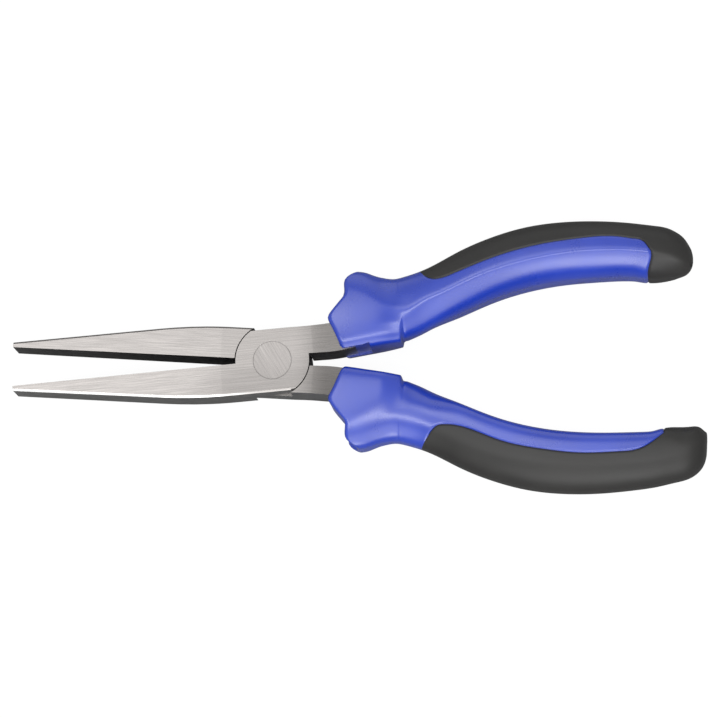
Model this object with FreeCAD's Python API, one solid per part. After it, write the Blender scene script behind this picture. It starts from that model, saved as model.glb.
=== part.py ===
"""Flat nose pliers with long smooth jaws, a flush lap joint and two-component grips.

Frame: +Z is the front of the pliers and the pivot axis, the jaws point to -X and the handles to +X.
The origin lies on the pivot axis, on the back cheek of the head.
Every piece is drawn with the jaws shut, in a mid-plane frame whose z = 0 is the middle of the head.
The front half is then turned open, and the rear half is the same drawing turned over about the X axis.
Lengths are millimetres and angles are degrees.
"""

import FreeCAD
import Part
import math
import os
from FreeCAD import Vector

# Whole tool
OPENING = 8.6
HEAD_THICKNESS = 9.5
TIP_THICKNESS = 7.8
TIP_X = -60.4

# Jaw
JAW_RELIEF = 0.02
TIP_HEIGHT = 1.15
HEAD_HALF_WIDTH = 7.28
SHOULDER_X = -18.2
SHOULDER_BLEND = 8.5
JAW_EDGE_CHAMFER = 0.4
THICKNESS_TAPER_X = -12.0

# Lap joint and rivet
DISC_RADIUS = 8.5
ARC_GAP = 0.2
LAP_GAP = 0.04
RIVET_RADIUS = 3.0
RIVET_HEAD_RADIUS = 4.44
RIVET_HEAD_DEPTH = 1.8
RIVET_RUNNING_GAP = 0.05

# Tang: the outer edge runs out along the handle, the inner edge comes back
TANG_OUTER = [
    (4.5, 7.28), (13.0, 7.33), (22.0, 8.6), (33.0, 13.0), (45.0, 18.2), (57.0, 21.6), (69.0, 22.5), (84.0, 20.6),
]
TANG_INNER = [
    (84.0, 15.2), (69.0, 16.6), (57.0, 15.6), (45.0, 12.0), (33.0, 6.9), (22.0, 2.1), (15.8, 0.8), (10.0, 0.75),
    (5.0, 0.9),
]
TANG_SLOPE_START_X = 9.5
TANG_SLOPE_END_X = 23.0
TANG_NECK_THICKNESS = 8.6
TANG_THIN_X = 33.0
TANG_THICKNESS = 5.6

# Grip cross-sections along the handle: x, inner edge y, outer edge y, half thickness
GRIP_SECTIONS = [
    (24.0, 2.5, 16.4, 5.3),
    (31.0, 2.7, 17.0, 5.9),
    (37.0, 4.9, 18.6, 6.3),
    (44.0, 7.6, 21.6, 6.9),
    (52.0, 10.3, 24.3, 7.4),
    (60.0, 12.0, 25.9, 7.7),
    (68.0, 12.7, 26.3, 7.8),
    (76.0, 12.6, 25.8, 7.7),
    (84.0, 12.0, 24.6, 7.4),
    (90.0, 11.1, 23.3, 7.1),
]
SECTION_EXPONENT = 2.6
SECTION_POINTS = 16
PAD_THICKNESS = 2.4

# The round ends in the same form: the upper handle's is shorter, the lower handle's squarer on its inner side
UPPER_END = [
    (92.5, 11.1, 22.6, 6.8),
    (94.7, 11.3, 21.3, 6.1),
    (96.3, 11.9, 19.7, 4.8),
    (97.2, 12.9, 18.0, 3.3),
    (97.7, 14.3, 16.5, 1.4),
]
LOWER_END = [
    (93.0, 10.2, 22.4, 6.9),
    (95.8, 9.7, 21.5, 6.5),
    (98.2, 9.7, 19.9, 5.4),
    (99.4, 10.5, 18.2, 3.8),
    (99.9, 12.0, 16.4, 1.6),
]

# Thumb guard at the front of a grip: a plate that thins behind its crease into the neck of the handle.
# The slot bares the inner edge of the tang, on the front and from the inner side.
GUARD_HALF_THICKNESS = 6.6
GUARD_CREASE_X = 22.0
GUARD_BACK_X = 34.0
GUARD_BACK_HALF_THICKNESS = 4.4
GUARD_EDGE_RADIUS = 1.2
GUARD_CORNERS = [(16.5, 0.5), (13.6, 7.8), (13.7, 9.2), (17.9, 13.5), (18.1, 17.6), (20.4, 18.8)]
GUARD_OUTER_VALLEY = [(20.4, 18.8), (24.0, 17.6), (29.0, 16.5), (34.0, 16.9)]
GUARD_INNER_END = [(30.2, 3.6), (29.6, 1.7)]
SLOT_CORNERS = [(0.0, -3.0), (22.5, -3.0), (22.5, 2.1), (16.0, 1.1), (0.0, 1.1)]

# Where the soft pad meets the hard shell, on the front and on the back of the front half's grip
FRONT_PAD_EDGE = [
    (33.5, 21.0), (35.4, 17.4), (38.8, 15.2), (43.0, 15.8), (54.0, 18.9), (64.0, 20.5),
    (73.0, 21.0), (82.0, 20.5), (86.4, 19.0), (88.3, 16.0), (87.5, 12.0), (85.6, 8.0),
]
BACK_PAD_EDGE = [
    (33.5, 22.0), (35.8, 18.0), (38.3, 13.7), (42.0, 13.0), (53.0, 16.0), (63.0, 17.6),
    (72.0, 18.0), (80.5, 17.2), (86.0, 15.7), (89.2, 13.0), (90.0, 8.0),
]

# Lengths that only have to be large or small
FAR = 60.0
TINY = 0.001


def prism(face, low, high):
    """A flat face in the XY plane, extruded from z = low to z = high."""
    face.translate(Vector(0, 0, low))
    return face.extrude(Vector(0, 0, high - low))


def line_path(points):
    """Straight edges through a list of (x, y) points."""
    vectors = [Vector(x, y, 0) for x, y in points]
    return [Part.makeLine(a, b) for a, b in zip(vectors, vectors[1:])]


def smooth_path(points):
    """One smooth edge through a list of (x, y) points."""
    curve = Part.BSplineCurve()
    curve.interpolate([Vector(x, y, 0) for x, y in points])
    return [curve.toShape()]


def face_of(edges):
    """The flat face inside a closed loop of edges."""
    return Part.Face(Part.Wire(edges))


def cylinder(radius, low, high):
    """A cylinder on the pivot axis from z = low to z = high."""
    return Part.makeCylinder(radius, high - low, Vector(0, 0, low))


def jaw_plan():
    """The jaw below the closing line: a long taper that runs into the side of the head through a large arc."""
    taper = (HEAD_HALF_WIDTH - TIP_HEIGHT) / (SHOULDER_X - TIP_X)
    blend_x = SHOULDER_X - SHOULDER_BLEND
    blend_y = -HEAD_HALF_WIDTH + taper * SHOULDER_BLEND
    turn = math.atan(taper)
    blend_radius = SHOULDER_BLEND / math.tan(turn / 2)
    arc_end_x = SHOULDER_X + SHOULDER_BLEND
    middle_x = arc_end_x - blend_radius * math.sin(turn / 2)
    middle_y = -HEAD_HALF_WIDTH + blend_radius * (1 - math.cos(turn / 2))
    blend = Part.Arc(
        Vector(blend_x, blend_y, 0),
        Vector(middle_x, middle_y, 0),
        Vector(arc_end_x, -HEAD_HALF_WIDTH, 0),
    )
    top = -JAW_RELIEF
    ahead = line_path([(0, -HEAD_HALF_WIDTH), (0, top), (TIP_X, top), (TIP_X, -TIP_HEIGHT), (blend_x, blend_y)])
    side = line_path([(arc_end_x, -HEAD_HALF_WIDTH), (0, -HEAD_HALF_WIDTH)])
    return face_of(ahead + [blend.toShape()] + side)


def tang_plan():
    """The curved tang, from inside the head to its round end in the grip."""
    end_low, end_high = TANG_INNER[0], TANG_OUTER[-1]
    reach = (end_high[1] - end_low[1]) / 2
    end = Part.Arc(
        Vector(end_high[0], end_high[1], 0),
        Vector(end_low[0] + reach, (end_low[1] + end_high[1]) / 2, 0),
        Vector(end_low[0], end_low[1], 0),
    )
    root = line_path([TANG_INNER[-1], TANG_OUTER[0]])
    return face_of(smooth_path(TANG_OUTER) + [end.toShape()] + smooth_path(TANG_INNER) + root)


def side_prism(upper):
    """The room between an (x, z) line and its mirror image below the mid-plane, right across the tool."""
    loop = upper + [(x, -z) for x, z in reversed(upper)]
    points = [Vector(x, -FAR, z) for x, z in loop]
    return Part.Face(Part.makePolygon(points + points[:1])).extrude(Vector(0, 2 * FAR, 0))


def side_envelope():
    """The lever seen along Y: thin at the tip, full at the head, and falling away along the tang."""
    upper = [
        (TIP_X, TIP_THICKNESS / 2),
        (THICKNESS_TAPER_X, HEAD_THICKNESS / 2),
        (TANG_SLOPE_START_X, HEAD_THICKNESS / 2),
        (TANG_SLOPE_END_X, TANG_NECK_THICKNESS / 2),
        (TANG_THIN_X, TANG_THICKNESS / 2),
        (2 * FAR, TANG_THICKNESS / 2),
    ]
    return side_prism(upper)


def head_disc():
    """The half-thickness round of the lap, with flats that continue the sides of the head."""
    flats = Part.makeBox(2 * FAR, 2 * HEAD_HALF_WIDTH, HEAD_THICKNESS, Vector(-FAR, -HEAD_HALF_WIDTH, 0))
    return cylinder(DISC_RADIUS, LAP_GAP / 2, HEAD_THICKNESS / 2).common(flats)


def rivet_solid(gap=0.0):
    """The pivot rivet with countersunk flush heads, or with a gap the hole that it turns in."""
    half = HEAD_THICKNESS / 2
    overshoot = half if gap else 0.0
    shank = cylinder(RIVET_RADIUS + gap, -half - overshoot, half + overshoot)
    head = Part.makeCone(
        RIVET_HEAD_RADIUS + gap, RIVET_RADIUS + gap, RIVET_HEAD_DEPTH, Vector(0, 0, half), Vector(0, 0, -1)
    )
    other_head = head.mirror(Vector(0, 0, 0), Vector(0, 0, 1))
    return shank.fuse([head, other_head]).removeSplitter()


def jaw_chamfer_edges(body):
    """The long edges where the outside of the jaw meets its two cheeks."""
    chosen = []
    for edge in body.Edges:
        box = edge.BoundBox
        on_jaw = box.XMax < -DISC_RADIUS and box.XLength > SHOULDER_BLEND
        if on_jaw and box.YMin < -TIP_HEIGHT - JAW_RELIEF:
            chosen.append(edge)
    return chosen


def lever(rivet_gap):
    """One lever: lower jaw, front half of the lap and upper tang, with the jaws shut."""
    half = HEAD_THICKNESS / 2
    arms = prism(jaw_plan(), -half, half).fuse(prism(tang_plan(), -half, half)).common(side_envelope())
    arms = arms.cut(cylinder(DISC_RADIUS + ARC_GAP, -half, LAP_GAP / 2))
    body = arms.fuse(head_disc()).removeSplitter()
    body = body.makeChamfer(JAW_EDGE_CHAMFER, jaw_chamfer_edges(body))
    return body.cut(rivet_solid(rivet_gap))


def ring_of(x, inner, outer, half_thickness):
    """A closed superellipse across the handle at x, from its inner edge to its outer edge."""
    centre = (inner + outer) / 2
    half_width = (outer - inner) / 2
    power = 2 / SECTION_EXPONENT
    points = []
    for step in range(SECTION_POINTS):
        angle = 2 * math.pi * step / SECTION_POINTS
        across = math.copysign(abs(math.cos(angle)) ** power, math.cos(angle))
        through = math.copysign(abs(math.sin(angle)) ** power, math.sin(angle))
        points.append(Vector(x, centre + half_width * across, half_thickness * through))
    curve = Part.BSplineCurve()
    curve.interpolate(points, PeriodicFlag=True)
    return Part.Wire(curve.toShape())


def handle_body(end_rings):
    """The outside of a grip's handle, lofted through its cross-sections and its round end."""
    rings = [ring_of(x, inner, outer, half) for x, inner, outer, half in GRIP_SECTIONS + end_rings]
    return Part.makeLoft(rings, True, False)


def handle_core(end_rings):
    """The hard core under the pad, which stops one pad thickness short all round."""
    rings = []
    for x, inner, outer, half in GRIP_SECTIONS + end_rings:
        deep_enough = min(half, (outer - inner) / 2) > 2 * PAD_THICKNESS
        if deep_enough:
            rings.append(ring_of(x, inner + PAD_THICKNESS, outer - PAD_THICKNESS, half - PAD_THICKNESS))
    return Part.makeLoft(rings, True, False)


def guard_body():
    """The thumb guard: a plate round the tang with rounded edges, wider than the handle behind it."""
    front = line_path(GUARD_CORNERS)
    back = line_path([GUARD_OUTER_VALLEY[-1]] + GUARD_INNER_END + GUARD_CORNERS[:1])
    plan = face_of(front + smooth_path(GUARD_OUTER_VALLEY) + back)
    upper = [
        (0, GUARD_HALF_THICKNESS),
        (GUARD_CREASE_X, GUARD_HALF_THICKNESS),
        (GUARD_BACK_X, GUARD_BACK_HALF_THICKNESS),
    ]
    plate = prism(plan, -GUARD_HALF_THICKNESS, GUARD_HALF_THICKNESS).common(side_prism(upper))
    rim = []
    for edge in plate.Edges:
        box = edge.BoundBox
        runs_along = box.XLength > TINY
        if runs_along and box.XMin < GUARD_INNER_END[-1][0] - TINY:
            rim.append(edge)
    return plate.makeFillet(GUARD_EDGE_RADIUS, rim)


def pad_region():
    """Everything outboard of the line where pad and shell meet, on either side of the mid-plane."""
    halves = []
    for edge_line, low, high in ((FRONT_PAD_EDGE, 0, FAR), (BACK_PAD_EDGE, -FAR, 0)):
        start, end = edge_line[0], edge_line[-1]
        beyond = [end, (2 * FAR, end[1]), (2 * FAR, FAR), (start[0], FAR), start]
        halves.append(prism(face_of(smooth_path(edge_line) + line_path(beyond)), low, high))
    return halves[0].fuse(halves[1])


def grip(end_rings, tang):
    """The two mouldings of one grip: hard shell with its guard, and soft outer pad."""
    handle = handle_body(end_rings)
    whole = handle.fuse(guard_body()).removeSplitter()
    pad = handle.common(pad_region()).cut(handle_core(end_rings))
    slot = prism(face_of(line_path(SLOT_CORNERS + SLOT_CORNERS[:1])), -TANG_NECK_THICKNESS / 2, FAR)
    shell = whole.cut(pad).cut(tang).cut(slot)
    return shell, pad


def largest_solid(shape):
    """The one solid of a cut result, without slivers."""
    return max(shape.Solids, key=lambda solid: solid.Volume)


def place(shape, turned_over):
    """Open the half by its share of the opening, turn it over if it is the rear half, and lift it to the frame."""
    placed = shape.copy()
    placed.rotate(Vector(0, 0, 0), Vector(0, 0, 1), OPENING / 2)
    if turned_over:
        placed.rotate(Vector(0, 0, 0), Vector(1, 0, 0), 180)
    placed.translate(Vector(0, 0, HEAD_THICKNESS / 2))
    return placed


def build():
    """Every piece by name, in the open rest pose."""
    front = lever(0.0)
    rear = lever(RIVET_RUNNING_GAP)
    upper_shell, upper_pad = grip(UPPER_END, front)
    lower_shell, lower_pad = grip(LOWER_END, front)
    return {
        "front_lever": place(front, False),
        "rear_lever": place(rear, True),
        "pivot_rivet": place(rivet_solid(), False),
        "upper_grip_shell": place(largest_solid(upper_shell), False),
        "upper_grip_pad": place(largest_solid(upper_pad), False),
        "lower_grip_shell": place(largest_solid(lower_shell), True),
        "lower_grip_pad": place(largest_solid(lower_pad), True),
    }


os.makedirs("parts", exist_ok=True)
for name, shape in build().items():
    shape.exportStep("parts/" + name + ".step")
    print(name, "solids", len(shape.Solids), "valid", shape.isValid(), "volume", round(shape.Volume, 1))
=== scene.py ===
"""Looks for the flat nose pliers: moulded two-component grips, satin steel, studio floor and light."""

import math

import bmesh
import bpy
import numpy as np
from mathutils import Matrix, Vector


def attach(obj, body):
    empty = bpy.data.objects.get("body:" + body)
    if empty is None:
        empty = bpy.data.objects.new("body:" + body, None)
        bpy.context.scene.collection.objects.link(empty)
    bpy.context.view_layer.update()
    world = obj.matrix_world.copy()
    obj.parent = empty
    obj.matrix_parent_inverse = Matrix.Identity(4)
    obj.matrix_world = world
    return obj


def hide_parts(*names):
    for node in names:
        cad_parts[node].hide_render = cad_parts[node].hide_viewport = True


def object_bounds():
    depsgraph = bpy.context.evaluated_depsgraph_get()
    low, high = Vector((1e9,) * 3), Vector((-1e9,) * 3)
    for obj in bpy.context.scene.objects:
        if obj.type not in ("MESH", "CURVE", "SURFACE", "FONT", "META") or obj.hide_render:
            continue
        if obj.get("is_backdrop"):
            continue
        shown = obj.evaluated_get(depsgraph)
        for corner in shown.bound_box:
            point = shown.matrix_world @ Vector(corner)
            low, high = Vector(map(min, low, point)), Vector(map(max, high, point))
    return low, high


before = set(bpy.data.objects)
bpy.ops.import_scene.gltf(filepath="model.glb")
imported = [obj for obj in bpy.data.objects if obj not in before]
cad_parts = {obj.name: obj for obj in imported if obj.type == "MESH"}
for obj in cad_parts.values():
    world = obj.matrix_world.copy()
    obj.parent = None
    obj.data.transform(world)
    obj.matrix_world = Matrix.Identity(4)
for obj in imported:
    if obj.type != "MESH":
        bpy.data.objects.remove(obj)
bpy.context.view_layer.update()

MM = 0.001
OPENING = 8.6  # degrees between the two halves at rest
HEAD_THICKNESS = 9.5
RIVET_HEAD_RADIUS = 4.44

# ---------------------------------------------------------------- the moulded grips
# A handle with the jaws shut, in mm: x, inner edge y, outer edge y, half thickness, squareness of the section
SECTIONS = [
    (31.0, 2.70, 17.00, 5.9, 3.4),
    (34.0, 3.65, 17.68, 6.1, 3.1),
    (37.0, 4.90, 18.60, 6.3, 2.9),
    (44.0, 7.60, 21.60, 6.9, 2.7),
    (52.0, 10.30, 24.30, 7.4, 2.6),
    (60.0, 12.00, 25.90, 7.7, 2.6),
    (68.0, 12.70, 26.30, 7.8, 2.6),
    (76.0, 12.60, 25.80, 7.7, 2.6),
    (84.0, 12.00, 24.60, 7.4, 2.6),
    (90.0, 11.10, 23.30, 7.1, 2.6),
]
UPPER_END = [
    (92.5, 11.1, 22.6, 6.8, 2.5),
    (94.7, 11.3, 21.3, 6.1, 2.4),
    (96.3, 11.9, 19.7, 4.8, 2.3),
    (97.2, 12.9, 18.0, 3.3, 2.2),
    (97.7, 14.3, 16.5, 1.4, 2.0),
]
LOWER_END = [
    (93.0, 10.2, 22.4, 6.9, 2.6),
    (95.8, 9.7, 21.5, 6.5, 2.6),
    (98.2, 9.7, 19.9, 5.4, 2.5),
    (99.4, 10.5, 18.2, 3.8, 2.3),
    (99.9, 12.0, 16.4, 1.6, 2.0),
]
# In plan: the front rim of the thumb guard, as (y, x), and its outer edge behind the peak, as (x, y)
RIM = [
    (0.5, 16.2), (1.8, 15.8), (4.0, 15.1), (6.9, 14.0), (7.9, 13.6), (8.8, 13.65),
    (9.6, 14.2), (10.6, 15.1), (12.2, 16.6), (13.4, 17.6), (14.1, 17.8), (15.5, 17.8),
    (16.8, 17.85), (17.7, 18.2), (18.4, 19.0), (19.1, 20.3),
]
RIM_RADIUS = 1.0
GUARD_OUTER = [
    (20.2, 19.1), (22.0, 18.75), (24.0, 18.0), (27.0, 17.15), (29.2, 16.82), (31.0, 17.0), (34.0, 17.68),
]
# The guard runs from its front corners to the first section; the step is on its inner edge
GUARD_FRONT_INNER_X = 16.5
GUARD_FRONT_OUTER_X = 20.2
GUARD_INNER_Y = 0.5
GUARD_INNER_SLOPE = 0.0916
GUARD_END_X = SECTIONS[0][0]
GUARD_RUN = 15.0
STEP_X = 29.6
# Seam between shell and pad, on the front and on the back of the moulding, as (x, y)
FRONT_SEAM = [
    (34.3, 19.5), (35.4, 17.4), (36.8, 15.85), (38.8, 15.1), (43.0, 15.8), (54.0, 18.9),
    (64.0, 20.5), (73.0, 21.0),
]
BACK_SEAM = [
    (34.6, 19.5), (35.4, 18.0), (36.7, 15.9), (38.3, 13.7), (40.0, 13.05), (42.0, 13.0),
    (53.0, 16.0), (63.0, 17.6), (72.0, 18.0), (80.5, 17.2),
]
# The seams run out to each end in their own way: where the shell stops, and the last points of the two seams
UPPER_SEAM_END = (
    88.3,
    [(81.7, 20.5), (85.0, 19.7), (87.3, 18.3), (88.3, 16.4)],
    [(85.0, 15.6), (88.3, 12.6)],
)
LOWER_SEAM_END = (
    91.3,
    [(82.0, 20.5), (88.5, 18.5), (91.3, 14.5)],
    [(86.0, 15.7), (89.2, 13.0), (90.4, 11.75)],
)
# The crest on the crisper front of the moulding, and the ridge on its softer back, as (x, y)
FRONT_CREST = [
    (24.0, 10.0), (29.2, 9.3), (32.0, 8.7), (35.0, 10.0), (39.7, 11.5), (46.8, 13.9), (53.8, 15.7),
    (63.1, 17.1), (72.3, 17.7), (81.4, 17.2), (90.3, 15.4), (97.0, 12.9), (101.0, 12.0),
]
BACK_RIDGE = [
    (24.0, 15.0), (25.5, 13.5), (28.4, 11.1), (30.9, 9.6), (33.7, 8.8), (36.5, 8.6), (41.6, 9.2),
    (50.0, 11.0),
]
# The last ring, which closes an end: its distance behind the last section, and the rest of its row
TIP = (0.08, 15.2, 15.6, 0.35, 2.0)
PAD_START_X = 35.0
PAD_DEPTH = 2.4
CORE_END_X = 93.0
GUARD_HALF_THICKNESS = 6.75
GROOVE_DEPTH = 0.26
GROOVE_WIDTH = 0.2
# The hole that the tang enters: middle, half width in y, half height in z, depth
TANG_HOLE = (4.0, 3.42, 4.68, 2.5)
# The slot beside the tang, as (x, y), and the z it runs between
SLOT_PLAN = [(11.0, -4.0), (22.6, -4.0), (22.6, 1.85), (20.6, 1.45), (17.0, 1.2), (11.0, 0.9)]
SLOT_LOW, SLOT_HIGH = -3.5, 9.0
SMOOTH_ANGLE = 38  # degrees; sharper edges of the grips stay sharp
SHELL_COLUMNS = 46
PAD_COLUMNS = 34
RING_SAMPLES = 400
# Lengths along the grip, each with the number of rings on it
RUNS = [
    (0.0, 3.0, 16), (3.0, 12.0, 30), (12.0, 14.6, 16), (14.6, 15.6, 16), (15.6, 18.9, 15), (18.9, 20.9, 60),
    (20.9, 26.0, 23), (26.0, 74.8, 130), (74.8, 76.3, 16), (76.3, 77.2, 10), (77.2, 85.5, 54),
]


def spline(points, at):
    """Natural cubic spline through (x, y, ...) rows, at the given x."""
    table = np.array(points, float)
    x, y = table[:, 0], table[:, 1:]
    n, h = len(x), np.diff(table[:, 0])
    system, right = np.zeros((n, n)), np.zeros((n, y.shape[1]))
    system[0, 0] = system[-1, -1] = 1.0
    slope = np.diff(y, axis=0) / h[:, None]
    for k in range(1, n - 1):
        system[k, k - 1 : k + 2] = h[k - 1], 2 * (h[k - 1] + h[k]), h[k]
        right[k] = 6 * (slope[k] - slope[k - 1])
    bend = np.linalg.solve(system, right)
    at = np.clip(np.asarray(at, float), x[0], x[-1])
    k = np.clip(np.searchsorted(x, at) - 1, 0, n - 2)
    left, width = at - x[k], h[k]
    rest = width - left
    left, rest, width = left[..., None], rest[..., None], width[..., None]
    value = (bend[k] * rest**3 + bend[k + 1] * left**3) / (6 * width)
    value = value + (y[k] / width - bend[k] * width / 6) * rest
    value = value + (y[k + 1] / width - bend[k + 1] * width / 6) * left
    return value[..., 0] if y.shape[1] == 1 else value


def ramp(value, low, high):
    """0 below low, 1 above high, smooth between them."""
    t = np.clip((value - low) / (high - low), 0, 1)
    return t * t * (3 - 2 * t)


def past(distance, soft):
    """The distance where it is positive, 0 where it is negative, rounded over a soft width."""
    return soft * np.logaddexp(0, distance / soft)


def higher(a, b, soft):
    """The larger of two heights, with a soft fillet between them."""
    return soft * np.logaddexp(a / soft, b / soft)


def front_height(x, y, half, inner, outer):
    """Height over the mid-plane of the crisper side: flat guard plate, crease, valley, sharp ridge."""
    plate = GUARD_HALF_THICKNESS - 0.010 * (y - 8.0) ** 2 - 0.006 * (x - 20.0) ** 2
    crease = (x - 21.5) * 0.507 + (y - 13.8) * 0.862
    facet = (x - 19.7) * 0.387 - (y - 1.3) * 0.922
    fold = 0.12 + 0.22 * ramp(x, 22.5, 27.5)
    guard = plate - fold * past(crease, 0.2) - 0.24 * past(facet, 1.3) - 0.24 * past(x - 26.4, 1.2)
    crest = spline(FRONT_CREST, x)
    rise = past(y - crest, 0.30) / (outer - crest)
    fall = past(crest - y, 0.30) / (crest - inner)
    step = 0.55 * ramp(6.2 - y, 0.0, 2.2) * past(30.2 - x, 0.25)
    handle = half * (1.03 - 0.20 * rise - 0.36 * fall) - 0.14 * past(31.6 - x, 1.0) - step
    blend = ramp(x, 31.0, 36.0)
    return np.where(x < 36.0, higher(guard, handle, 1.0) * (1 - blend) + handle * blend, handle)


def back_height(x, y, half, inner, outer):
    """Height on the softer side: guard plate with a round diagonal crease, and a round crown."""
    plate = GUARD_HALF_THICKNESS - 0.006 * (y - 6.0) ** 2 - 0.004 * (x - 20.0) ** 2
    crease = (x - 20.8) * 0.617 + (y - 12.0) * 0.787
    ridge = 0.27 * ramp(x, 25.0, 34.0) * (1 - ramp(x, 38.0, 47.0)) * past(spline(BACK_RIDGE, x) - y, 0.7)
    guard = plate + 0.02 * (y - 3.0) - 0.24 * past(crease, 0.9) - ridge
    crest = inner + (0.34 - 0.12 * ramp(x, 36.0, 48.0)) * (outer - inner)
    side = (y - crest) / (0.5 * (outer - inner))
    crown = 0.19 - 0.08 * ramp(x, 36.0, 48.0)
    handle = half * (1.03 - crown * side**2) - ridge - 0.05 * past(31.6 - x, 1.2)
    blend = ramp(x, 31.0, 38.0)
    return np.where(x < 38.0, higher(guard, handle, 1.0) * (1 - blend) + handle * blend, handle)


def half_section(square_in, square_out):
    """Half a ring, inner edge over the top to outer edge: places across, from -1 to 1, and heights."""
    cos = np.cos(np.linspace(0, math.pi, RING_SAMPLES))
    power = np.where(cos > 0, square_in, square_out)
    across = np.sort(np.concatenate([-np.sign(cos) * np.abs(cos) ** (2 / power), -cos[1:-1]]))
    power = np.where(across < 0, square_in, square_out)
    return across, (1 - np.minimum(np.abs(across), 1) ** power) ** (1 / power)


def running_length(points):
    """Length along a chain of points, from 0 at the first."""
    return np.concatenate([[0], np.cumsum(np.linalg.norm(np.diff(points, axis=0), axis=1))])


def seam_share(points, seam, length):
    """The share of a half ring's length where it crosses the seam."""
    side = points[:, 1] - spline(seam, points[:, 0])
    crossings = np.nonzero((side[:-1] < 0) & (side[1:] >= 0))[0]
    if len(crossings) == 0:
        return 1.0 if side[0] < 0 else 0.0
    k = crossings[-1]
    t = side[k] / (side[k] - side[k + 1])
    return (length[k] + t * (length[k + 1] - length[k])) / length[-1]


def column_shares(share, total):
    """Places along a half ring for the shell's columns and the pad's columns, crowded towards the seam."""
    close = np.array([0.0, 0.07, 0.16, 0.28, 0.45, 0.7]) / total
    even = np.linspace(0, 0.5, len(close))
    shell_near = np.minimum(close, share * even)
    pad_near = np.minimum(close, (1 - share) * even)
    shell_far = np.linspace(0, share - shell_near[-1], SHELL_COLUMNS - len(close) + 1)
    pad_far = np.linspace(share + pad_near[-1], 1, PAD_COLUMNS - len(close) + 1)
    shell = np.concatenate([shell_far, share - shell_near[-2::-1]])
    pad = np.concatenate([share + pad_near[:-1], pad_far])
    return shell, pad


def handle_ring(row):
    """Edges and section of a ring behind the guard, from a row like those in SECTIONS."""
    x, inner, outer, half, square = row
    return x, x, inner, outer, inner, half, square, square, 0.0


def guard_ring(t):
    """Edges and section of a ring of the guard, t from 0 at its front rim to 1 at the first section."""
    _, root_end, _, half_end, square_end = SECTIONS[0]
    x_inner = GUARD_FRONT_INNER_X + (GUARD_END_X - GUARD_FRONT_INNER_X) * t
    x_outer = GUARD_FRONT_OUTER_X + (GUARD_END_X - GUARD_FRONT_OUTER_X) * t
    step = float(ramp(x_inner, STEP_X, STEP_X + 0.4))
    edge = GUARD_INNER_Y + (x_inner - GUARD_FRONT_INNER_X) * GUARD_INNER_SLOPE
    inner = edge * (1 - step) + root_end * step
    outer = float(spline(GUARD_OUTER, x_outer))
    root = max(GUARD_INNER_Y, root_end - 0.3 * (GUARD_END_X - x_inner))
    half = half_end - 0.07 * (GUARD_END_X - x_inner)
    square_in = 9.0 - (9.0 - square_end) * ramp(x_inner, STEP_X - 0.4, STEP_X + 1.0)
    square_out = square_end + 0.1 * (GUARD_END_X - x_outer) + 1.5 * (1 - ramp(x_outer, 21.0, 29.0))
    return x_inner, x_outer, inner, outer, root, half, square_in, square_out, (1 - t) ** 1.5


def side_points(ring, height_of, shell_stop):
    """One half of a ring as points, from the inner edge over the top to the outer edge."""
    x_inner, x_outer, inner, outer, root, half, square_in, square_out, bulge = ring
    if height_of is back_height:
        square_in = square_in + 2.4 * ramp(x_inner, 36.0, 44.0) * (1 - ramp(x_inner, 90.0, 95.0))
    across, rise = half_section(square_in, square_out)
    share = (across + 1) / 2
    y = inner + (outer - inner) * share
    rim = spline(RIM, RIM[0][0] + share * (RIM[-1][0] - RIM[0][0])) + RIM_RADIUS
    straight = GUARD_FRONT_INNER_X + (GUARD_FRONT_OUTER_X - GUARD_FRONT_INNER_X) * share
    x = x_inner + (x_outer - x_inner) * share + (rim - straight) * bulge
    lean = ramp(x_inner, shell_stop - 5.0, shell_stop - 0.5)
    lean = lean * (1 - ramp(x_inner, shell_stop + 1.0, shell_stop + 5.0))
    x = x - 1.2 * ramp(15.5 - y, 0.0, 4.0) * lean
    return np.column_stack([x, y, rise * height_of(x, y, half, root, outer)])


def grip_rings(end, seam_end):
    """The outside of one grip as rings of points, with the columns split at the seams."""
    shell_stop, front_tail, back_tail = seam_end
    rows = SECTIONS + end
    table = np.array(rows + [(rows[-1][0] + TIP[0], *TIP[1:])], float)
    steps = np.hypot(np.diff(table[:, 0]), 0.55 * np.abs(np.diff(table[:, 3])))
    run = np.concatenate([[0], np.cumsum(steps)])
    keyed = np.column_stack([run, table])
    stations = np.unique(np.concatenate([np.linspace(a, b, n) for a, b, n in RUNS]))
    stations = stations / stations[-1] * (GUARD_RUN + run[-1])
    rings, places, share = [], [], [1.0, 1.0]
    for station in stations:
        behind = station - GUARD_RUN
        ring = handle_ring(spline(keyed, behind)) if behind >= 0 else guard_ring(station / GUARD_RUN)
        x = ring[0]
        halves = []
        for side, (height_of, seam) in enumerate((
            (front_height, FRONT_SEAM + front_tail),
            (back_height, BACK_SEAM + back_tail),
        )):
            points = side_points(ring, height_of, shell_stop)
            length = running_length(points)
            here = 1.0
            if PAD_START_X <= x <= shell_stop:
                here = share[side] = min(max(seam_share(points, seam, length), 0.035), 0.995)
            elif x > shell_stop:
                settle = float(ramp(x, shell_stop, shell_stop + 4.0))
                here = share[side] * (1 - settle) + 0.5 * settle
            shell, pad = column_shares(here, length[-1])
            at = np.concatenate([shell, pad[1:]]) * length[-1]
            halves.append(np.column_stack([np.interp(at, length, points[:, k]) for k in range(3)]))
        front, back = halves
        back = back * np.array([1, 1, -1])
        rings.append(np.concatenate([front, back[-2:0:-1]]))
        places.append(x)
    return np.array(rings), np.array(places)


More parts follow.
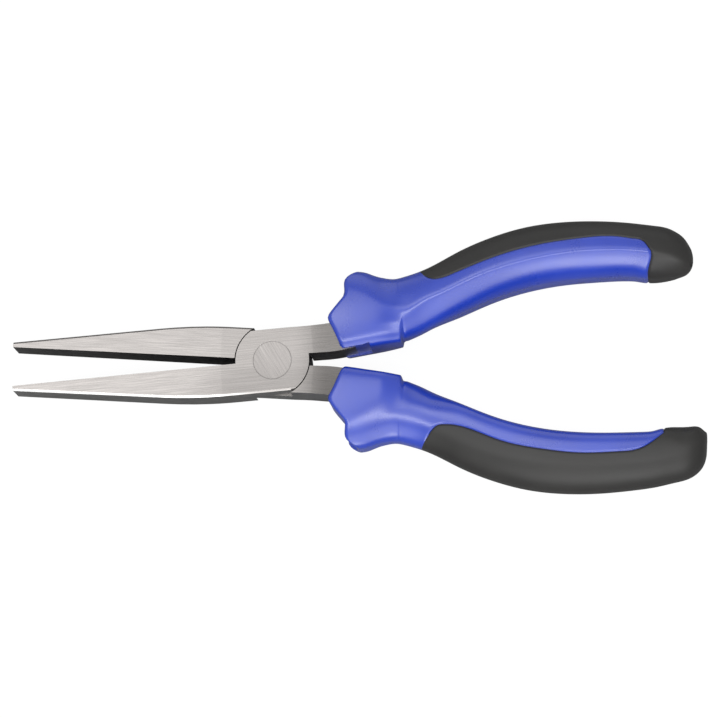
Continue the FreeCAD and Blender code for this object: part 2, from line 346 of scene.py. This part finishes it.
def ring_normals(rings):
    """Outward normals of a tube of rings."""
    along = np.gradient(rings, axis=0)
    around = np.roll(rings, -1, axis=1) - np.roll(rings, 1, axis=1)
    normal = np.cross(around, along)
    length = np.linalg.norm(normal, axis=2, keepdims=True)
    normal = normal / np.maximum(length, 1e-9)
    centre = rings.mean(axis=1, keepdims=True)
    outward = np.sign(((rings - centre) * normal).sum(axis=2, keepdims=True).sum())
    return normal * outward


def grid_faces(first, shape):
    """Quads of a grid of vertex numbers, with shape rows and columns."""
    ids = first + np.arange(shape[0] * shape[1]).reshape(shape)
    a, b = ids[:-1, :-1], ids[:-1, 1:]
    c, d = ids[1:, 1:], ids[1:, :-1]
    return np.stack([a, b, c, d], axis=-1).reshape(-1, 4)


class Builder:
    """Collects grids of points and welds them into one closed mesh."""

    def __init__(self):
        self.points, self.faces, self.count = [], [], 0

    def grid(self, points, flip=False):
        faces = grid_faces(self.count, points.shape[:2])
        self.faces.append(faces[:, ::-1] if flip else faces)
        self.points.append(points.reshape(-1, 3))
        self.count += len(self.points[-1])

    def fan(self, loop):
        """Closes a loop of points to its middle."""
        middle = np.repeat(loop.mean(axis=0)[None], len(loop), axis=0)
        self.grid(np.stack([loop, middle]))

    def object(self, name):
        points = np.concatenate(self.points) * MM
        mesh = bpy.data.meshes.new(name)
        mesh.from_pydata(points.tolist(), [], np.concatenate(self.faces).tolist())
        work = bmesh.new()
        work.from_mesh(mesh)
        bmesh.ops.remove_doubles(work, verts=work.verts, dist=3e-6)
        bmesh.ops.dissolve_degenerate(work, edges=work.edges, dist=1e-6)
        bmesh.ops.recalc_face_normals(work, faces=work.faces)
        work.to_mesh(mesh)
        work.free()
        made = bpy.data.objects.new(name, mesh)
        bpy.context.scene.collection.objects.link(made)
        return made


def close_ring(points):
    """A ring or a stack of rings with the first column repeated at the end."""
    return np.concatenate([points, points[..., :1, :]], axis=-2)


def rim_and_hole(builder, first):
    """Rounds the guard's front rim, then runs over its front face and into the hole round the tang."""
    middle, half_width, half_height, depth = TANG_HOLE
    flat = first[:, 1:]
    tangent = np.roll(flat, -1, axis=0) - np.roll(flat, 1, axis=0)
    inward = np.column_stack([-tangent[:, 1], tangent[:, 0]])
    length = np.linalg.norm(inward, axis=1, keepdims=True)
    if ((flat.mean(axis=0) - flat) * inward).sum() < 0:
        inward = -inward
    inward = np.where(length > 1e-6, inward / np.maximum(length, 1e-9), [-1.0, 0.0])
    rings = [first]
    for angle in np.linspace(0, math.pi / 2, 9)[1:]:
        moved = flat + inward * RIM_RADIUS * (1 - math.cos(angle))
        rings.append(np.column_stack([first[:, 0] - RIM_RADIUS * math.sin(angle), moved]))
    rim = rings[-1]
    ray = rim[:, 1:] - [middle, 0.0]
    reach = np.min([half_width, half_height] / np.maximum(np.abs(ray), 1e-9), axis=1)
    hole = [middle, 0.0] + ray * np.minimum(reach, 0.97)[:, None]
    lead = rim[:, 0] - spline(RIM, rim[:, 1])
    for t in np.linspace(0, 1, 11)[1:]:
        face = rim[:, 1:] * (1 - t) + hole * t
        rings.append(np.column_stack([spline(RIM, face[:, 0]) + lead * (1 - t) ** 3, face]))
    rings.append(np.column_stack([spline(RIM, hole[:, 0]) + depth, hole]))
    rings = np.array(rings)
    builder.grid(close_ring(rings), flip=True)
    builder.fan(close_ring(rings[-1]))


def grip_pieces(name, end, seam_end):
    """The hard shell and the soft pad of one grip, as two closed meshes drawn with the jaws shut."""
    rings, places = grip_rings(end, seam_end)
    front_seam = SHELL_COLUMNS - 1
    back_seam = rings.shape[1] - front_seam
    start = int(np.argmax(places >= PAD_START_X))
    stop = int(np.nonzero(places <= seam_end[0])[0][-1])
    core_end = int(np.argmax(places >= CORE_END_X))
    normals = ring_normals(rings)
    seam = np.concatenate([
        rings[start : stop + 1, front_seam], rings[start : stop + 1, back_seam],
        rings[stop, : front_seam + 1], rings[stop, back_seam:],
    ])
    dip = np.zeros(rings.shape[:2])
    for k in range(start, min(stop + 12, len(rings))):
        gap = np.linalg.norm(rings[k][:, None] - seam[None], axis=2).min(axis=1)
        starts = ramp(places[k], PAD_START_X + 0.6, PAD_START_X + 2.4)
        dip[k] = GROOVE_DEPTH * np.exp(-((gap / GROOVE_WIDTH) ** 2)) * starts
    surface = rings - normals * dip[..., None]
    depth = PAD_DEPTH * ramp(places, places[start], PAD_START_X + 4.0)
    centre = rings.mean(axis=1, keepdims=True)
    reach = np.linalg.norm(rings - centre, axis=2)
    shrink = 1 - np.minimum(depth[:, None] / np.maximum(reach, 1e-6), 0.6)
    inner = centre + (rings - centre) * shrink[..., None]
    pad_columns = slice(front_seam, back_seam + 1)
    surface_run = np.concatenate([surface[:, back_seam:], surface[:, : front_seam + 1]], axis=1)
    inner_run = np.concatenate([inner[:, back_seam:], inner[:, : front_seam + 1]], axis=1)

    shell, pad = Builder(), Builder()
    shell.grid(surface_run[: stop + 1])
    pad.grid(surface[start:, pad_columns])
    pad.grid(surface_run[stop:])
    for builder in (shell, pad):
        builder.grid(inner[start : core_end + 1, pad_columns])
        builder.grid(inner_run[stop : core_end + 1])
        for column in (front_seam, back_seam):
            wall = [layer[start : stop + 1, column] for layer in (surface, inner)]
            builder.grid(np.stack(wall, axis=1))
        builder.grid(np.stack([surface_run[stop], inner_run[stop]]))
        builder.fan(close_ring(inner[core_end]))
    rim_and_hole(shell, surface[0])
    pad.fan(close_ring(surface[-1]))
    return shell.object(name + "_shell"), pad.object(name + "_pad")


def cut_slot(shell):
    """The slot beside the tang, open to the inner side and through the front plate."""
    corners = [(x * MM, y * MM, z * MM) for z in (SLOT_LOW, SLOT_HIGH) for x, y in SLOT_PLAN]
    n = len(SLOT_PLAN)
    faces = [list(range(n))[::-1], list(range(n, 2 * n))]
    faces += [[k, (k + 1) % n, n + (k + 1) % n, n + k] for k in range(n)]
    mesh = bpy.data.meshes.new("cutter")
    mesh.from_pydata(corners, [], faces)
    cutter = bpy.data.objects.new("cutter", mesh)
    bpy.context.scene.collection.objects.link(cutter)
    modifier = shell.modifiers.new("slot", "BOOLEAN")
    modifier.object, modifier.operation, modifier.solver = cutter, "DIFFERENCE", "EXACT"
    graph = bpy.context.evaluated_depsgraph_get()
    cut = bpy.data.meshes.new_from_object(shell.evaluated_get(graph))
    shell.modifiers.clear()
    shell.data = cut
    bpy.data.objects.remove(cutter)


def place(made, turned_over):
    """Opens a piece by half the opening, turns it over for the rear half, and lifts it to the frame."""
    turn = Matrix.Rotation(math.radians(OPENING / 2), 4, "Z")
    if turned_over:
        turn = Matrix.Rotation(math.pi, 4, "X") @ turn
    made.data.transform(Matrix.Translation((0, 0, HEAD_THICKNESS / 2 * MM)) @ turn)
    made.data.polygons.foreach_set("use_smooth", [True] * len(made.data.polygons))
    made.data.set_sharp_from_angle(angle=math.radians(SMOOTH_ANGLE))
    made.data.update()


# ---------------------------------------------------------------- materials
class Nodes:
    """A short way to write a node tree."""

    def __init__(self, tree):
        self.tree = tree
        tree.nodes.clear()

    def add(self, kind, inputs=(), **settings):
        node = self.tree.nodes.new(kind)
        for key, value in settings.items():
            setattr(node, key, value)
        for key, value in dict(inputs).items():
            if isinstance(value, bpy.types.NodeSocket):
                self.tree.links.new(value, node.inputs[key])
            else:
                node.inputs[key].default_value = value
        return node

    def scaled(self, coordinates, scale, rotation=(0, 0, 0)):
        inputs = {"Vector": coordinates, "Scale": scale, "Rotation": rotation}
        return self.add("ShaderNodeMapping", inputs).outputs[0]

    def noise(self, coordinates, scale, detail=4.0, rough=0.55):
        inputs = {"Vector": coordinates, "Scale": scale, "Detail": detail, "Roughness": rough}
        return self.add("ShaderNodeTexNoise", inputs).outputs["Fac"]

    def remap(self, value, a, b, low, high):
        inputs = {"Value": value, "From Min": a, "From Max": b, "To Min": low, "To Max": high}
        return self.add("ShaderNodeMapRange", inputs, interpolation_type="SMOOTHSTEP").outputs[0]

    def math(self, operation, a, b=0.0):
        return self.add("ShaderNodeMath", {0: a, 1: b}, operation=operation).outputs[0]

    def axis(self, vector, index):
        return self.add("ShaderNodeSeparateXYZ", {0: vector}).outputs[index]

    def mix(self, share, a, b):
        return self.add("ShaderNodeMix", {0: share, 6: a, 7: b}, data_type="RGBA").outputs[2]

    def dimmed(self, colour, share):
        return self.add("ShaderNodeVectorMath", {0: colour, 3: share}, operation="SCALE").outputs[0]

    def bump(self, height, strength, distance):
        inputs = {"Height": height, "Strength": strength, "Distance": distance}
        return self.add("ShaderNodeBump", inputs).outputs[0]

    def surface(self, shader):
        self.add("ShaderNodeOutputMaterial", {"Surface": shader.outputs[0]})


def material(name):
    made = bpy.data.materials.new(name)
    made.use_nodes = True
    return made, Nodes(made.node_tree)


def opaque(colour, tone=1.0):
    """A colour with full alpha, its brightness scaled by the tone."""
    return [tone * part for part in colour] + [1.0]


# Colours of the steel: the ground cheeks with their streaks, the milled sides, and a painted highlight for a
# jaw's lower edge
GROUND_DARK, GROUND_PALE = (0.37, 0.350, 0.338), (0.41, 0.388, 0.374)
GROUND_STREAK = (0.28, 0.265, 0.256)
MILLED_DARK, MILLED_PALE = (0.17, 0.17, 0.166), (0.30, 0.295, 0.29)
EDGE_HIGHLIGHT = (0.80, 0.80, 0.79)


def ground_colour(n, position, fine, cloud, tone, tang_shade, rivet_rim_shade):
    """The cheeks: fine streaks, with painted shade towards the tangs, on the lower head and round the outline
    of the rivet.
    """
    colour = n.mix(n.remap(cloud, 0.3, 0.7, 0.0, 1.0), opaque(GROUND_DARK, tone), opaque(GROUND_PALE, tone))
    colour = n.mix(n.remap(fine, 0.35, 0.7, 0.0, 0.30), colour, opaque(GROUND_STREAK, tone))
    x, y = n.axis(position, 0), n.axis(position, 1)
    # Painted shade: darker towards the tangs, standing in for their slope away from the light.
    colour = n.dimmed(colour, n.remap(x, 4.0 * MM, 13.0 * MM, 1.0, tang_shade))
    # Painted shade: a darker ring just inside the rivet head's rim, for the gap round it.
    flat = n.scaled(position, (1, 1, 0))
    radius = n.add("ShaderNodeVectorMath", {0: flat}, operation="LENGTH").outputs["Value"]
    start, full = (RIVET_HEAD_RADIUS - 0.22) * MM, (RIVET_HEAD_RADIUS - 0.06) * MM
    colour = n.dimmed(colour, n.remap(radius, start, full, 1.0, rivet_rim_shade))
    # Painted shade: the lower part of the head, behind the jaws, is darkened.
    head_shade = n.remap(x, -22.0 * MM, -8.0 * MM, 0.0, 0.17)
    lower = n.remap(y, -8.0 * MM, 3.0 * MM, 1.0, 0.0)
    return n.dimmed(colour, n.math("SUBTRACT", 1.0, n.math("MULTIPLY", head_shade, lower)))


def edge_highlight_share(n, position, strength):
    """How far a cheek gets a painted highlight: along the rounded lower edge of the jaw, fading out towards
    the head.
    """
    rounded = n.add("ShaderNodeBevel", {"Radius": 0.40 * MM}, samples=8).outputs[0]
    edge = n.remap(n.axis(rounded, 1), -0.34, -0.14, 1.0, 0.0)
    return n.math("MULTIPLY", edge, n.remap(n.axis(position, 0), -20.0 * MM, -2.0 * MM, strength, 0.0))


def steel(name, angle, tone, tang_shade=1.0, rivet_rim_shade=1.0, edge_highlight=0.0):
    """Satin steel: cheeks ground along an angle in degrees, with coarser and darker milling on the sides,
    painted shade on the gripping faces of the jaws and a painted highlight along a jaw's lower edge.
    """
    made, n = material(name)
    position = n.add("ShaderNodeTexCoord").outputs["Object"]
    along = n.scaled(position, (1, 1, 1), (0, 0, math.radians(angle)))
    fine = n.noise(n.scaled(along, (60, 6200, 6200)), 1.0, 3.0, 0.6)
    coarse = n.noise(n.scaled(along, (40, 2600, 2600)), 1.0, 4.0, 0.6)
    cloud = n.noise(n.scaled(along, (40, 120, 120)), 1.0, 3.0, 0.5)
    normal = n.add("ShaderNodeNewGeometry").outputs["True Normal"]
    cheek = n.remap(n.math("ABSOLUTE", n.axis(normal, 2)), 0.3, 0.6, 0.0, 1.0)

    ground = ground_colour(n, position, fine, cloud, tone, tang_shade, rivet_rim_shade)
    # Painted highlight: the cheek turns pale along the jaw's rounded lower edge, where a chamfer would catch
    # the light.
    ground = n.mix(n.math("MULTIPLY", edge_highlight_share(n, position, edge_highlight), cheek), ground, opaque(EDGE_HIGHLIGHT))
    milled = n.mix(n.remap(coarse, 0.3, 0.7, 0.0, 1.0), opaque(MILLED_DARK), opaque(MILLED_PALE))
    # Painted shade: the gripping faces of the jaws, where the closed jaws shade each other, are darkened to
    # nearly black.
    off_jaw_face = n.math("ABSOLUTE", n.axis(along, 1))
    milled = n.dimmed(milled, n.remap(off_jaw_face, 0.3 * MM, 0.6 * MM, 0.12, 1.0))

    side = n.math("MULTIPLY", n.math("SUBTRACT", 1.0, cheek), 0.12)
    rough = n.math("ADD", n.remap(fine, 0.3, 0.7, 0.21, 0.29), side)
    relief = n.math("ADD", fine, n.math("MULTIPLY", coarse, 0.6))
    turn = math.radians(angle)
    grain = n.add("ShaderNodeCombineXYZ", {0: math.sin(turn), 1: math.cos(turn)}).outputs[0]
    to_world = {"vector_type": "VECTOR", "convert_from": "OBJECT", "convert_to": "WORLD"}
    grain = n.add("ShaderNodeVectorTransform", {0: grain}, **to_world).outputs[0]
    look = {
        "Base Color": n.mix(cheek, milled, ground), "Metallic": 1.0, "Roughness": rough,
        "Normal": n.bump(relief, 0.06, 0.05 * MM), "Anisotropic": 0.75, "Tangent": grain,
    }
    n.surface(n.add("ShaderNodeBsdfPrincipled", look))
    return made


BLUE_PLASTIC = {
    "deep": (0.010, 0.046, 0.49), "pale": (0.014, 0.056, 0.55), "roughness": 0.27,
    "grain": 5200.0, "strength": 0.03, "specular": 1.0, "coat": 0.4,
}
BLACK_RUBBER = {
    "deep": (0.017, 0.0165, 0.0155), "pale": (0.024, 0.023, 0.0215), "roughness": 0.46,
    "grain": 4200.0, "strength": 0.12, "specular": 0.6, "coat": 0.0,
}


def moulded(name, deep, pale, roughness, grain, strength, specular, coat):
    """Moulded plastic or rubber: a fine grain and a faint cloudiness in the colour and the gloss."""
    made, n = material(name)
    position = n.add("ShaderNodeTexCoord").outputs["Object"]
    cloud = n.noise(position, 90.0, 3.0, 0.5)
    fine = n.noise(position, grain, 2.0, 0.6)
    gloss = n.remap(cloud, 0.3, 0.7, roughness - 0.03, roughness + 0.03)
    look = {
        "Base Color": n.mix(n.remap(cloud, 0.3, 0.7, 0.0, 1.0), opaque(deep), opaque(pale)),
        "Roughness": n.math("ADD", gloss, n.math("MULTIPLY", fine, 0.04)),
        "Normal": n.bump(fine, strength, 0.06 * MM),
        "Specular IOR Level": specular, "Coat Weight": coat, "Coat Roughness": 0.18,
    }
    n.surface(n.add("ShaderNodeBsdfPrincipled", look))
    return made


# ---------------------------------------------------------------- studio
FLOOR_REACH = 3.0
# Soft lights of the sky: direction, the angles from it (in degrees) where the light starts and where it is
# full, and strength
SKY_LIGHTS = [
    ((-0.12, 0.21, 0.97), 21, 3, 1.2),
    ((0.05, -0.90, 0.45), 36, 18, 1.5),
    ((0.0, -0.98, 0.20), 15, 6, 2.2),
    ((0.0, 0.95, 0.30), 30, 12, 0.4),
    ((-0.24, 0.19, 0.95), 10, 1, 1.6),
]
SKY_BASE = 0.50
# The strip light, in m and W
STRIP_LENGTH, STRIP_WIDTH, STRIP_POWER = 0.6, 0.055, 0.80
STRIP_PLACE, STRIP_AIM = Vector((0.03, -0.15, 0.5)), Vector((0.03, 0, 0))


def studio_floor(level):
    """Pale paper: nearly white to the camera, and darker to what it is mirrored in."""
    corners = [(-FLOOR_REACH, -FLOOR_REACH), (FLOOR_REACH, -FLOOR_REACH), (FLOOR_REACH, FLOOR_REACH)]
    corners.append((-FLOOR_REACH, FLOOR_REACH))
    mesh = bpy.data.meshes.new("floor")
    mesh.from_pydata([(x, y, level) for x, y in corners], [], [(0, 1, 2, 3)])
    floor = bpy.data.objects.new("floor", mesh)
    bpy.context.scene.collection.objects.link(floor)
    made, n = material("floor_paper")
    seen = n.add("ShaderNodeLightPath").outputs["Is Camera Ray"]
    position = n.add("ShaderNodeTexCoord").outputs["Object"]
    tint = n.mix(n.noise(position, 30.0), opaque((0.90, 0.90, 0.90)), opaque((0.92, 0.92, 0.92)))
    paper = n.add("ShaderNodeBsdfDiffuse", {"Color": tint}).outputs[0]
    glow = n.add("ShaderNodeEmission", {"Color": opaque((1, 1, 1)), "Strength": 1.06}).outputs[0]
    shade = n.add("ShaderNodeBsdfDiffuse", {"Color": opaque((0.30, 0.30, 0.30))}).outputs[0]
    lit = n.add("ShaderNodeMixShader", {0: 0.90, 1: paper, 2: glow}).outputs[0]
    n.surface(n.add("ShaderNodeMixShader", {0: seen, 1: shade, 2: lit}))
    floor.data.materials.append(made)
    floor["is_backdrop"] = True


def studio_sky():
    """A sky of a few soft lights on an even base, plain white to the camera."""
    world = bpy.data.worlds.new("studio")
    bpy.context.scene.world = world
    world.use_nodes = True
    n = Nodes(world.node_tree)
    direction = n.add("ShaderNodeTexCoord").outputs["Generated"]
    sky = 0.0
    for towards, start, full, strength in SKY_LIGHTS:
        aim = Vector(towards).normalized()
        near = n.add("ShaderNodeVectorMath", {0: direction, 1: aim}, operation="DOT_PRODUCT").outputs["Value"]
        limits = math.cos(math.radians(start)), math.cos(math.radians(full))
        sky = n.math("ADD", sky, n.remap(near, *limits, 0.0, strength))
    sky = n.math("ADD", sky, SKY_BASE)
    seen = n.add("ShaderNodeLightPath").outputs["Is Camera Ray"]
    sky = n.add("ShaderNodeMix", {0: seen, 2: sky, 3: 1.0}, data_type="FLOAT").outputs[0]
    background = n.add("ShaderNodeBackground", {"Color": opaque((1, 1, 1)), "Strength": sky}).outputs[0]
    n.add("ShaderNodeOutputWorld", {"Surface": background})


def strip_light():
    """A long narrow lamp over the handles, for the bright lines on their crests."""
    data = bpy.data.lights.new("strip_box", "AREA")
    data.shape, data.size, data.size_y = "RECTANGLE", STRIP_LENGTH, STRIP_WIDTH
    data.energy = STRIP_POWER
    light = bpy.data.objects.new("strip_box", data)
    bpy.context.scene.collection.objects.link(light)
    light.location = STRIP_PLACE
    light.rotation_mode = "QUATERNION"
    light.rotation_quaternion = (STRIP_AIM - STRIP_PLACE).to_track_quat("-Z", "Y")
    light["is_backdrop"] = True


# ---------------------------------------------------------------- camera
# It looks down on the front cheek. Tilt, turn and roll are in radians. All else is in mm: the distance from
# the pivot, the width of the square picture at the pivot, and the pivot's place from the picture's middle.
CAMERA_TILT, CAMERA_TURN, CAMERA_ROLL = 0.19337, -0.08864, -0.02188
CAMERA_DISTANCE = 901.0
PICTURE_WIDTH = 165.0575
PIVOT_RIGHT, PIVOT_UP = -19.4225, -1.1425
SENSOR_WIDTH = 36.0


def turned(a, b, angle):
    """Two square axes turned about the third."""
    return math.cos(angle) * a + math.sin(angle) * b, math.cos(angle) * b - math.sin(angle) * a


def main_camera():
    right = Vector((1, 0, 0))
    up, back = turned(Vector((0, 1, 0)), Vector((0, 0, 1)), CAMERA_TILT)
    right, back = turned(right, back, CAMERA_TURN)
    right, up = turned(right, up, CAMERA_ROLL)
    pivot = Vector((0, 0, HEAD_THICKNESS / 2))
    eye = pivot + CAMERA_DISTANCE * back - PIVOT_RIGHT * right - PIVOT_UP * up
    lens = bpy.data.cameras.new("camera")
    lens.sensor_width = SENSOR_WIDTH
    lens.lens = SENSOR_WIDTH * CAMERA_DISTANCE / PICTURE_WIDTH
    lens.clip_start, lens.clip_end = 0.05, 20.0
    camera = bpy.data.objects.new("camera", lens)
    bpy.context.scene.collection.objects.link(camera)
    camera.matrix_world = Matrix.Translation(eye * MM) @ Matrix((right, up, back)).transposed().to_4x4()
    bpy.context.scene.camera = camera


# ---------------------------------------------------------------- the whole scene
EDGE_BEVEL = 0.06  # mm, on the edges of the steel
EDGE_ANGLE = 32  # degrees; flatter edges get no bevel


def dress_grips():
    """Both grips, on the bodies of their levers, in place of the CAD grips."""
    blue = moulded("blue_shell", **BLUE_PLASTIC)
    black = moulded("black_pad", **BLACK_RUBBER)
    for side, end, seam_end, body, turned_over in (
        ("upper", UPPER_END, UPPER_SEAM_END, "front_half", False),
        ("lower", LOWER_END, LOWER_SEAM_END, "rear_half", True),
    ):
        shell, pad = grip_pieces(side + "_visual", end, seam_end)
        cut_slot(shell)
        for made, look, part, finish in (
            (shell, blue, "shell", "grip_blue"),
            (pad, black, "pad", "grip_black"),
        ):
            place(made, turned_over)
            made.data.materials.clear()
            made.data.materials.append(look)
            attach(made, body)
            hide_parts(side + "_grip_" + part)


def dress_steel():
    """Steel on the CAD levers and rivet, with small bevels and flat shading on their flat faces."""
    looks = {
        "front_lever": steel("front_steel", -OPENING / 2, 0.86, tang_shade=0.62, edge_highlight=1.0),
        "rear_lever": steel("rear_steel", OPENING / 2, 0.86, tang_shade=0.46),
        "pivot_rivet": steel("rivet_steel", 60.0, 0.84, rivet_rim_shade=0.6),
    }
    for node, look in looks.items():
        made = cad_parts[node]
        made.data.materials.clear()
        made.data.materials.append(look)
        weld = made.modifiers.new("weld", "WELD")
        weld.merge_threshold = 2e-6
        bevel = made.modifiers.new("edges", "BEVEL")
        bevel.width, bevel.segments, bevel.limit_method = EDGE_BEVEL * MM, 2, "ANGLE"
        bevel.angle_limit = math.radians(EDGE_ANGLE)
        flat = made.modifiers.new("flat_faces", "WEIGHTED_NORMAL")
        flat.mode, flat.weight, flat.keep_sharp = "FACE_AREA", 100, True


dress_grips()
dress_steel()
studio_floor(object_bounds()[0].z - 0.1 * MM)
studio_sky()
strip_light()
main_camera()
bpy.context.scene.view_settings.view_transform = "Standard"
